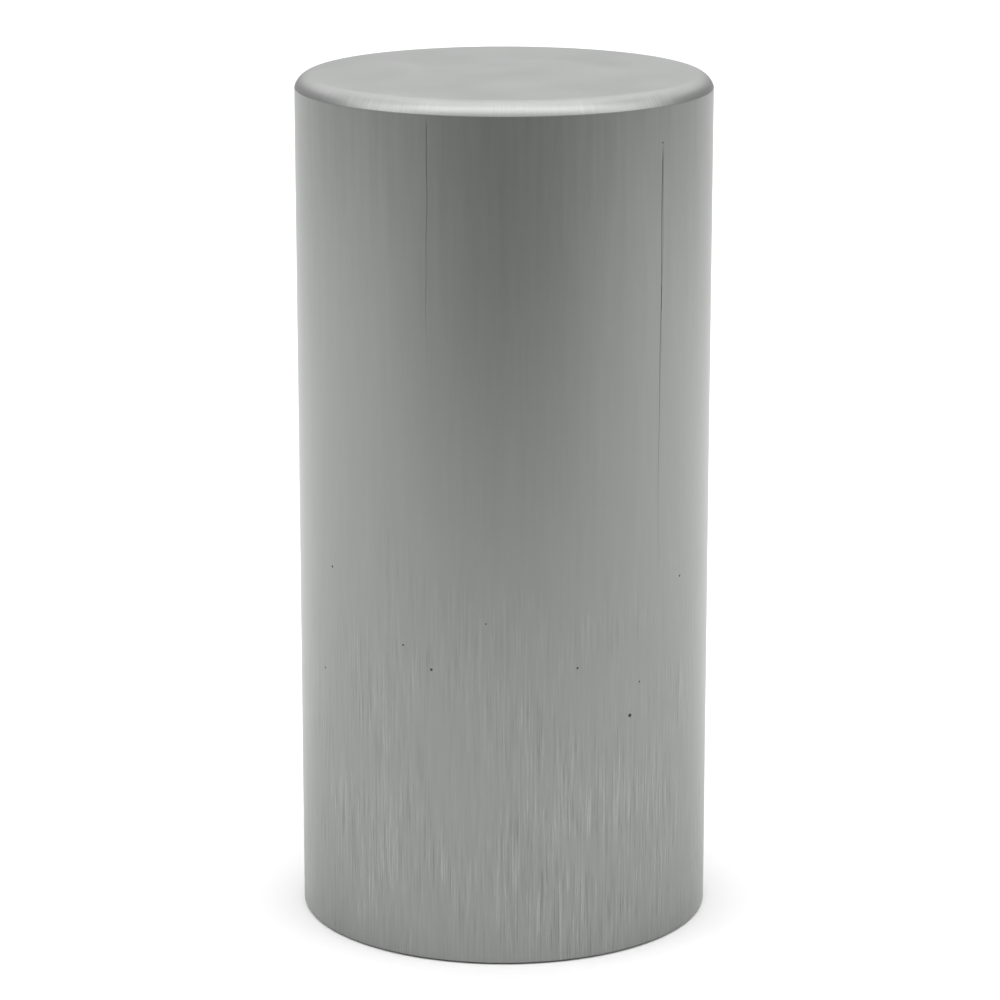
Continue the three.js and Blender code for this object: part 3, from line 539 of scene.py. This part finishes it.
def block(low, high):
    """A box between two corners, given in millimetres, as a tool."""
    low, high = np.array(low) * MM, np.array(high) * MM
    spots = np.array([(x, y, z) for x in (0, 1) for y in (0, 1) for z in (0, 1)]) * (high - low) + low
    mesh = bpy.data.meshes.new("block")
    mesh.from_pydata(
        spots, [], [(0, 1, 3, 2), (4, 6, 7, 5), (0, 4, 5, 1), (2, 3, 7, 6), (0, 2, 6, 4), (1, 5, 7, 3)]
    )
    return in_scene("block", mesh)


def rod(radius, bottom, top, columns=64):
    """A plain cylinder on +Z, given in millimetres, as a tool."""
    return turned("rod", np.array(millimetres((0, bottom), (radius, bottom), (radius, top), (0, top))), columns)


# Sizes in millimetres. The stack of dials and washers stands between the collars, and the slot runs up from it.
barrel_radius, barrel_bore, barrel_top = 18.15, 16.15, 97.4
stack_bottom, stack_top, collar_top = 18, 88.4, 98
outline = millimetres(
    (0, 8, 0), (barrel_radius, 8, 0.2), (barrel_radius, barrel_top, 0.25),
    (barrel_bore, barrel_top, 0.25), (barrel_bore, 16, 0.3), (0, 16, 0),
)
barrel = turned("barrel_bored", rounded(outline))
slot_half, keyway_half = 2.3, 1.5
carved(barrel, block((-slot_half, -19, stack_bottom), (slot_half, -15.6, collar_top)))
carved(barrel, block((-keyway_half, 17.35, stack_bottom), (keyway_half, 19, collar_top)))
for turn in screw_turns:
    angle = radians(turn)
    carved(barrel, moved(rod(1.6, 7.5, 13.5), screw_circle * cos(angle), screw_circle * sin(angle)))
barrel.data.materials.append(lock_aluminium)
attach(barrel, "standing_part")
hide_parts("barrel")

# ---------------------------------------------------------------- collars
# Two turned aluminium rings that clamp the stack of dials: the lower one against the base, the upper one with a way
# through for the keys. Each has two cross-drilled threads at the back and a hole for its index dot.

set_screw_turns = (45, 135)
collar_radius, chamfer = 25, 0.5
channel_radius = 20.05  # what the keys' tips turn in
lower_middle, upper_middle = 14, 93.2
for name, node, low, high, passage in (
    ("lower_collar_turned", "lower_collar", 10, stack_bottom, False),
    ("upper_collar_turned", "upper_collar", stack_top, collar_top, True),
):
    outline = millimetres(
        (barrel_seat, low, 0.1), (collar_radius - chamfer, low, 0.15),
        (collar_radius, low + chamfer, 0.15), (collar_radius, high - chamfer, 0.15),
        (collar_radius - chamfer, high, 0.15), (barrel_seat, high, 0.1),
    )
    collar = turned(name, rounded(outline, loop=True, guard=0.06 * MM), columns=360, loop=True)
    middle = (low + high) / 2 * MM
    for turn in set_screw_turns:
        carved(collar, moved(rod(1.6, 17.5, 26), z=middle, turn=turn, lay=True))
    carved(collar, moved(rod(1.3, 22, 26), z=middle, turn=front, lay=True))
    if passage:
        carved(collar, block((-slot_half, -channel_radius, low - 1), (slot_half, -16, high + 1)))
    collar.data.materials.append(turned_aluminium)
    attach(collar, "standing_part")
    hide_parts(node)

# ---------------------------------------------------------------- index dots
# Two pins turned from brass rod, pressed into the collars at the front with their domed ends showing. The digits that
# stand between the two dots are the code.

# Brass under clear lacquer: warm and glossy, with fine upright polishing strokes and a faint uneven patina.
brass, tree, skin = material("lacquered_brass", Metallic=1.0, Coat_Weight=0.25, Coat_Roughness=0.15)
place = add(tree, "ShaderNodeTexCoord").outputs["Object"]
patina = {"Vector": place, "Scale": 1 / (6 * MM), "Detail": 5.0, "Roughness": 0.6, "Distortion": 0.4}
patina = add(tree, "ShaderNodeTexNoise", patina)
stretched = add(tree, "ShaderNodeVectorMath", [place, (1, 1, 0.04)], operation="MULTIPLY")
strokes = add(tree, "ShaderNodeTexNoise", {"Vector": stretched, "Scale": 1 / (0.2 * MM), "Detail": 3.0})
dress(skin, patina, (0.3, 0.75), ("#bf9a52", "#b08a45"), (0.24, 0.3), relief=(strokes, 0.3, 0.01 * MM))

for name, node, middle in (
    ("lower_index_dot_brass", "lower_index_dot", lower_middle),
    ("upper_index_dot_brass", "upper_index_dot", upper_middle),
):
    outline = millimetres((0, 22.1, 0), (1.2, 22.1, 0.1), (1.2, 24.95, 0.25), (0, 24.95, 0))
    dot = moved(turned(name, rounded(outline), columns=96), z=middle * MM, turn=front, lay=True)
    dot.data.materials.append(brass)
    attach(dot, "standing_part")
    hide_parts(node)

# ---------------------------------------------------------------- set screws
# Cup-ended grub screws of blackened steel, two in each collar, which fix it to the barrel. Their hexagon sockets
# face out, a little under the surface.

for place_name, middle in (("lower", lower_middle), ("upper", upper_middle)):
    for number, turn in enumerate(set_screw_turns, start=1):
        outline = millimetres((0, 18.25, 0), (1.5, 18.25, 0.3), (1.5, 24.4, 0.18), (0, 24.4, 0))
        screw = turned(f"{place_name}_set_screw_{number}_cup", rounded(outline), columns=96)
        carved(screw, moved(hexagon(1.5 * MM, 2 * MM), z=24.4 * MM))
        moved(screw, z=middle * MM, turn=turn, lay=True)
        screw.data.materials.append(black_steel)
        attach(screw, "standing_part")
        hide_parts(f"{place_name}_set_screw_{number}")

# ---------------------------------------------------------------- click washers
# Blanked from spring steel strip. A tab sits in the barrel's keyway, a gap lets the keys by, and a pressed bump
# drops into the lock ring below at each of the ten stations.

# Rolled and tempered strip: a bright steel with fine rolling lines along Y and a faint blue and straw tint.
spring_steel, tree, skin = material("tempered_spring_steel", Metallic=1.0)
place = add(tree, "ShaderNodeTexCoord").outputs["Object"]
rolled = add(tree, "ShaderNodeVectorMath", [place, (1, 0.05, 1)], operation="MULTIPLY")
rolling = add(tree, "ShaderNodeTexNoise", {"Vector": rolled, "Scale": 1 / (0.15 * MM), "Detail": 3.0})
temper = {"Vector": place, "Scale": 1 / (9 * MM), "Detail": 3.0, "Distortion": 0.5}
temper = add(tree, "ShaderNodeTexNoise", temper)
dress(skin, temper, (0.35, 0.65), ("#84888d", "#989693"), relief=(rolling, 0.3, 0.008 * MM))
connect(skin, {"Roughness": add(tree, "ShaderNodeMapRange", [rolling, 0.3, 0.7, 0.28, 0.4])})


def copied(pattern, name, up):
    """A copy of a pattern piece with a mesh of its own, raised by `up`."""
    return moved(in_scene(name, pattern.data.copy()), z=up)


stations = 10
station_turn = 360 / stations
dial_count = 5
pitch = 13.8
running_gap = 0.3
washer_radius, washer_bore, washer_thickness = 24, 18.45, 0.8
click_circle = 20 * MM
outline = millimetres(
    (washer_bore, 0, 0.1), (washer_radius, 0, 0.15),
    (washer_radius, washer_thickness, 0.15), (washer_bore, washer_thickness, 0.1),
)
pattern = turned("washer", rounded(outline, loop=True, guard=0.05 * MM), columns=256, loop=True)
carved(pattern, block((-1.2, 17.65, 0), (1.2, 18.7, washer_thickness)), operation="UNION")
bump_outline = millimetres((0, -0.55, 0), (0.4, -0.55, 0.2), (1, 0.2, 0), (0, 0.2, 0))
carved(pattern, moved(turned("bump", rounded(bump_outline), 48), click_circle), operation="UNION")
dent_outline = millimetres((0, 0.35, 0), (0.3, 0.35, 0.1), (0.75, 1.2, 0), (0, 1.2, 0))
carved(pattern, moved(turned("dent", rounded(dent_outline), 48), click_circle))
carved(pattern, block((-slot_half, -channel_radius, -1), (slot_half, -17, 2)))
for i in range(1, dial_count + 1):
    up = (stack_bottom + pitch * i - washer_thickness) * MM
    washer = copied(pattern, f"click_washer_{i}_blanked", up)
    washer.data.materials.append(spring_steel)
    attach(washer, "standing_part")
    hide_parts(f"click_washer_{i}")
bpy.data.objects.remove(pattern)

# ---------------------------------------------------------------- wave spring
# A flat ring of the same spring steel, bent into four waves. It is squeezed under the upper collar, where it presses
# the stack of dials and washers together.

wave_thickness = 0.4
wave_low, wave_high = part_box("wave_spring")
wave_rise = (wave_high.z - wave_low.z - wave_thickness * MM) / 2


def waves(a, r, z):
    """Lifts the ring by rise * (1 + sin 4a)."""
    return r, z + wave_rise * (1 + np.sin(4 * a))


outline = [
    (r, z + wave_low.z, easing)
    for r, z, easing in millimetres(
        (20.35, 0, 0.08), (washer_radius, 0, 0.1),
        (washer_radius, wave_thickness, 0.1), (20.35, wave_thickness, 0.08),
    )
]
spring = turned("wave_spring_ring", rounded(outline, loop=True, guard=0.04 * MM), loop=True, shape=waves)
spring.data.materials.append(spring_steel)
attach(spring, "standing_part")
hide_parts("wave_spring")

# ---------------------------------------------------------------- dials
# Five turned aluminium rings, each with ten engraved digits between ten milled finger flutes, and ten spline
# grooves inside, so that its lock ring can be refitted under any digit. Black paint fills the engraving.

# Black enamel wiped into the engraving: a low gloss, slightly gritty where it dried.
engraving_paint, tree, skin = material("black_engraving_paint", Roughness=0.55)
place = add(tree, "ShaderNodeTexCoord").outputs["Object"]
grit = {"Vector": place, "Scale": 1 / (0.25 * MM), "Detail": 4.0, "Roughness": 0.6}
grit = add(tree, "ShaderNodeTexNoise", grit)
dress(skin, grit, (0.35, 0.7), ("#131314", "#262627"), relief=(grit, 0.5, 0.02 * MM))

dial_radius = collar_radius * MM
dial_bore = 21.7 * MM
dial_height = 12.4 * MM
flute_depth, flute_half = 0.8 * MM, 2 * MM
flute_radius = (flute_half**2 + flute_depth**2) / (2 * flute_depth)
spline_depth, spline_half = 1.15 * MM, 1.65 * MM
digit_height = 6.8 * MM
engraving_depth = 0.3 * MM


def fluted(a, r, z):
    """Ten flutes outside, each the arc that a round cutter of radius F leaves when it is sunk by the flute's depth
    half-way between stations, and ten square spline grooves inside, at the stations."""
    turns = a / (2 * pi) * stations
    from_flute, from_groove = (((turns + shift) % 1 - 0.5) * 2 * pi / stations for shift in (0.5, 0))
    centre = dial_radius - flute_depth + flute_radius
    root = centre * np.cos(from_flute) - np.sqrt(np.maximum(flute_radius**2 - (centre * np.sin(from_flute)) ** 2, 0))
    outer = np.where(np.abs(centre * np.sin(from_flute)) < flute_radius, np.minimum(r, root), r)
    groove = (np.abs(dial_bore * np.sin(from_groove)) < spline_half) * spline_depth
    return np.where(r > dial_bore + 2.5 * MM, outer, np.where(r < dial_bore + 0.4 * MM, r + groove, r)), z


outline = [
    (dial_bore, 0, 0.12 * MM), (dial_radius, 0, 0.35 * MM),
    (dial_radius, dial_height, 0.35 * MM), (dial_bore, dial_height, 0.12 * MM),
]
section = rounded(outline, loop=True, guard=0.06 * MM)
pattern = turned("dial", section, columns=1080, loop=True, shape=fluted)


def outward(mesh, merge=0.0):
    """Merges points that lie within `merge` of each other, then turns the faces of a closed mesh outwards."""
    shell = bmesh.new()
    shell.from_mesh(mesh)
    bmesh.ops.remove_doubles(shell, verts=shell.verts, dist=merge)
    bmesh.ops.recalc_face_normals(shell, faces=shell.faces)
    shell.to_mesh(mesh)
    shell.free()


def wrapped_digit(digit, turn):
    """A digit as a tool, wrapped on the dial's face: its flat point (x, y, z) lies at the angle turn + x / R, the
    distance R + z from the axis and the height y, where R is the dial's radius."""
    text = bpy.data.curves.new("digit", "FONT")
    text.body, text.align_x, text.resolution_u, text.size = str(digit), "CENTER", 10, 10 * MM
    text.extrude = engraving_depth
    glyph = in_scene("digit", text)
    graph = bpy.context.evaluated_depsgraph_get()
    mesh = bpy.data.meshes.new_from_object(glyph.evaluated_get(graph), depsgraph=graph)
    bpy.data.objects.remove(glyph)
    places = np.empty(3 * len(mesh.vertices))
    mesh.vertices.foreach_get("co", places)
    x, y, z = places.reshape(-1, 3).T
    middle = (np.array([x.min(), y.min()]) + [x.max(), y.max()]) / 2
    size = digit_height / (y.max() - y.min())
    angle, reach = radians(turn) + (x - middle[0]) * size / dial_radius, dial_radius + z
    height = dial_height / 2 + (y - middle[1]) * size
    wrapped = np.stack([reach * np.cos(angle), reach * np.sin(angle), height], axis=1)
    mesh.vertices.foreach_set("co", wrapped.ravel())
    outward(mesh, merge=0.002 * MM)
    mesh.materials.clear()
    mesh.materials.append(engraving_paint)
    return in_scene("digit", mesh)


pattern.data.materials.append(turned_aluminium)
carved(pattern, *[wrapped_digit(digit, front + station_turn * digit) for digit in range(stations)])
dial_bottoms = [(stack_bottom + running_gap + pitch * i) * MM for i in range(dial_count)]
for i, bottom in enumerate(dial_bottoms, start=1):
    dial = copied(pattern, f"dial_{i}_engraved", bottom)
    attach(dial, f"dial_unit_{i}")
    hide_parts(f"dial_{i}")
bpy.data.objects.remove(pattern)

# ---------------------------------------------------------------- lock rings
# A machined ring behind each dial: a channel that its key turns in, a lip over the key with one notch, a spline
# that sits in the dial's groove, and ten drilled dimples on top for the washer's bump.

ring_radius, ring_bore, ring_height, lip_bottom = 21.55, 18.45, 12.4, 5.1
outline = millimetres(
    (channel_radius, 0, 0.12), (ring_radius, 0, 0.12), (ring_radius, ring_height, 0.12),
    (ring_bore, ring_height, 0.15), (ring_bore, lip_bottom, 0.12), (channel_radius, lip_bottom, 0.1),
)
pattern = turned("lock_ring", rounded(outline, loop=True, guard=0.06 * MM), loop=True)
carved(pattern, moved(block((20.8, -1.5, 0.05), (22.7, 1.5, 12.35)), turn=front), operation="UNION")
carved(pattern, block((-slot_half, -channel_radius, 4.6), (slot_half, -17.9, 12.9)))
dimple_outline = np.array(millimetres((0, 11.9), (0.7, 11.9), (1.5, 12.9), (0, 12.9)))
for station in range(stations):
    angle = radians(front + station_turn * (station + 0.5))
    tool = turned("dimple", dimple_outline, columns=32)
    carved(pattern, moved(tool, click_circle * cos(angle), click_circle * sin(angle)))
for i, bottom in enumerate(dial_bottoms, start=1):
    ring = copied(pattern, f"lock_ring_{i}_machined", bottom)
    ring.data.materials.append(lock_aluminium)
    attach(ring, f"dial_unit_{i}")
    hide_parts(f"lock_ring_{i}")
bpy.data.objects.remove(pattern)

# ---------------------------------------------------------------- vault tube
# Drawn brass tube, lacquered, open at its lower end, where what is hidden slides in. A milled flat at the front seats
# the key bar, and a cross hole at the top takes the knob's pin.

tube_radius, tube_bore, tube_bottom = 15.85, 13.85, 17.2
outline = millimetres(
    (tube_bore, tube_bottom, 0.4), (tube_radius, tube_bottom, 0.4),
    (tube_radius, collar_top, 0.1), (tube_bore, collar_top, 0.1),
)
tube = turned("vault_tube_drawn", rounded(outline, loop=True), loop=True)
carved(tube, block((-16, -17, 16.7), (16, -15.35, 97)))  # the flat
key_screw_heights = (28.3, 55.9, 83.5)
for height_up in key_screw_heights:
    carved(tube, moved(rod(0.9, 13, 17, 32), z=height_up * MM, turn=front, lay=True))
pin_height = 95 * MM
carved(tube, moved(rod(1.1, -17, 17, 48), z=pin_height, lay=True))
tube.data.materials.append(brass)
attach(tube, "vault")
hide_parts("vault_tube")

# ---------------------------------------------------------------- key bar and its screws
# A brass strip milled with five keys, one for each lock ring, each with a lead-in on its outer corner. Three slotted
# countersunk screws hold it to the flat on the vault tube.

# How far out the flat, the strip's face and the keys' tips lie, and the keys' own sizes, in millimetres.
seat, face, key_tip = 15.35, 17.85, 19.75
half_width, key_height, lead_in = 2, 3.5, 0.53
corners = [(seat, 18.3), (face, 18.3)]
for i in range(dial_count):
    low = 19.1 + pitch * i
    high = low + key_height
    corners += [(face, low), (key_tip, low), (key_tip, high - lead_in), (key_tip - lead_in, high), (face, high)]
corners += [(face, 97), (seat, 97)]
count = len(corners)
spots = np.array([(x, -r, z) for x in (-half_width, half_width) for r, z in corners]) * MM
mesh = bpy.data.meshes.new("key_bar_milled")
sides = [(i, (i + 1) % count, (i + 1) % count + count, i + count) for i in range(count)]
mesh.from_pydata(spots, [], sides + [tuple(range(count))[::-1], tuple(range(count, 2 * count))])
outward(mesh)
key_bar = in_scene("key_bar_milled", mesh)
eased = key_bar.modifiers.new("eased", "BEVEL")
eased.width, eased.segments, eased.limit_method = 0.12 * MM, 3, "ANGLE"
head = np.array(millimetres((0, 13), (0.9, 13), (0.9, 17.05), (1.6, 17.75), (1.6, 18.3), (0, 18.3)))
for height_up in key_screw_heights:
    carved(key_bar, moved(turned("hole", head, columns=48), z=height_up * MM, turn=front, lay=True))
key_bar.data.materials.append(brass)
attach(key_bar, "vault")
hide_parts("key_bar")

outline = millimetres((0, 14, 0), (0.8, 14, 0.12), (0.8, 17.15, 0.06), (1.5, 17.85, 0.04), (0, 17.85, 0))
for number, height_up in enumerate(key_screw_heights, start=1):
    screw = turned(f"key_screw_{number}_slotted", rounded(outline, guard=0.03 * MM), columns=64)
    moved(screw, z=height_up * MM, turn=front, lay=True)
    carved(screw, block((-3, -18.2, height_up - 0.2), (3, -17.35, height_up + 0.2)))
    screw.data.materials.append(black_steel)
    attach(screw, "vault")
    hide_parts(f"key_screw_{number}")

# ---------------------------------------------------------------- vault knob and its pin
# The knob that the vault is drawn out by: turned aluminium, a waist for the fingers between two knurled rims, and a
# spigot below that a steel pin holds in the tube.

knurl_teeth = 150
knurl_depth = 0.22 * MM
lower_rim, upper_rim = (98.75 * MM, 101.1 * MM), (110.75 * MM, 112.4 * MM)


def knurled(a, r, z):
    """A diamond knurl on the rims: the surface is cut back by depth * max(|s(u + v)|, |s(u - v)|), where u counts
    teeth round the rim, v counts them up it and s is a triangle wave from -1 to 1."""
    u, v = a / (2 * pi) * knurl_teeth, z * knurl_teeth / (2 * pi * dial_radius)
    left, right = (np.abs((u + way * v) % 1 * 2 - 1) for way in (1, -1))
    on_rim = [(z > low) & (z < high) for low, high in (lower_rim, upper_rim)]
    cut_back = (r > dial_radius - 0.001 * MM) & (on_rim[0] | on_rim[1])
    return r - cut_back * knurl_depth * np.maximum(left, right), z


# Rows close enough together to carry the knurl.
lower_rows, upper_rows = ([(25, z, 0) for z in np.arange(*rim, 0.15)] for rim in ((98.7, 101.2), (110.7, 112.5)))
outline = millimetres(
    (0, 92, 0), (13.7, 92, 0.3), (13.7, 98, 0.1), (24.5, 98, 0.15), (25, 98.5, 0.15), *lower_rows,
    (25, 101.4, 0.15), (22, 102.9, 0.6), (22, 108.9, 0.6), (25, 110.4, 0.15), *upper_rows,
    (25, 113.8, 1.2), (0, 113.8, 0),
)
knob = turned("vault_knob_turned", rounded(outline, step=15, guard=0.05 * MM), columns=900, shape=knurled)
carved(knob, moved(rod(1.1, -17, 17, 48), z=pin_height, lay=True))
knob.data.materials.append(turned_aluminium)
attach(knob, "vault")
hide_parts("vault_knob")

outline = millimetres((0, -15.7, 0), (1, -15.7, 0.2), (1, 15.7, 0.2), (0, 15.7, 0))
pin = moved(turned("knob_pin_steel", rounded(outline), columns=64), z=pin_height, lay=True)
pin.data.materials.append(black_steel)
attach(pin, "vault")
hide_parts("knob_pin")

# ---------------------------------------------------------------- table, light and camera
# A pale table in a small product studio, with painted shade: its colour greys towards a point 0.6 m in front of it,
# on the camera's side. It can't be seen from below, so the foot can be looked at through it.

floor_mesh = bpy.data.meshes.new("table")
floor_mesh.from_pydata([(-6, -6, 0), (6, -6, 0), (6, 6, 0), (-6, 6, 0)], [], [(0, 1, 2, 3)])
floor = in_scene("table", floor_mesh)

# White paper: matt, with painted shade that greys it as it nears a point 0.6 m in front, on the camera's side.
paper, tree, skin = material("white_paper_with_painted_shade", Roughness=0.9, Specular_IOR_Level=0.1)
place = add(tree, "ShaderNodeTexCoord").outputs["Object"]
# Painted shade: the paper is greyest within 0.15 m of this point and near white beyond 0.85 m.
painted_shade_distance = add(tree, "ShaderNodeVectorMath", [place, (0, -0.6, 0)], operation="DISTANCE")
dress(skin, painted_shade_distance, (0.85, 0.15), ("#e9e9e9", "#a4a4a4"))
floor_mesh.materials.append(paper)
below = add(tree, "ShaderNodeNewGeometry").outputs["Backfacing"]
either = add(tree, "ShaderNodeMixShader", [below, skin, add(tree, "ShaderNodeBsdfTransparent")])
connect(tree.nodes["Material Output"], {"Surface": either})

# Softboxes that face straight down until they are tilted and turned: size in metres, power in watts, place, degrees.
for name, wide, deep, watts, spot, tilt, turn in (
    ("back_softbox", 2.4, 2.0, 22, (0, 1.25, 0.9), 0, 0),
    ("top_softbox", 0.6, 0.6, 2.5, (0, 0.05, 0.7), 0, 0),
    ("front_softbox", 0.7, 0.4, 2.25, (0, -0.28, 0.58), 30, 0),
    ("left_softbox", 0.5, 0.6, 2.3, (-0.525, -0.155, 0.55), 52, -74),
    ("right_softbox", 0.5, 0.6, 2.3, (0.525, -0.155, 0.55), 52, 74),
):
    lamp = bpy.data.lights.new(name, "AREA")
    lamp.shape, lamp.size, lamp.size_y, lamp.energy = "RECTANGLE", wide, deep, watts
    softbox = in_scene(name, lamp)
    softbox.location = spot
    softbox.rotation_euler = (radians(tilt), 0, radians(turn))

# The room is bright low down all round and dim overhead, so that the floor is lit by the softboxes.
world = bpy.data.worlds.new("studio")
bpy.context.scene.world = world
world.use_nodes = True
tree = world.node_tree
way = add(tree, "ShaderNodeSeparateXYZ", [add(tree, "ShaderNodeTexCoord").outputs["Generated"]])
to_front = add(tree, "ShaderNodeMapRange", [way.outputs["Y"], -0.8, 0.2, 1.0, 0.54])
low_down = add(tree, "ShaderNodeMapRange", [way.outputs["Z"], 0.6, 0.85, 1.0, 0.1])
shade = add(tree, "ShaderNodeMath", [to_front, low_down], operation="MULTIPLY")
connect(tree.nodes["Background"], {"Color": (1, 1, 1, 1), "Strength": shade})

# A long lens, half a metre off and looking down by 14 degrees.
view = bpy.data.cameras.new("camera")
view.lens, view.sensor_width, view.clip_start, view.clip_end = 139.44, 36, 0.01, 50
camera = in_scene("camera", view)
camera.location = (-0.00054, -0.515, 0.18777)
camera.rotation_euler = (radians(90 - 14.24), 0, 0)
bpy.context.scene.camera = camera
bpy.context.scene.view_settings.view_transform = "Standard"
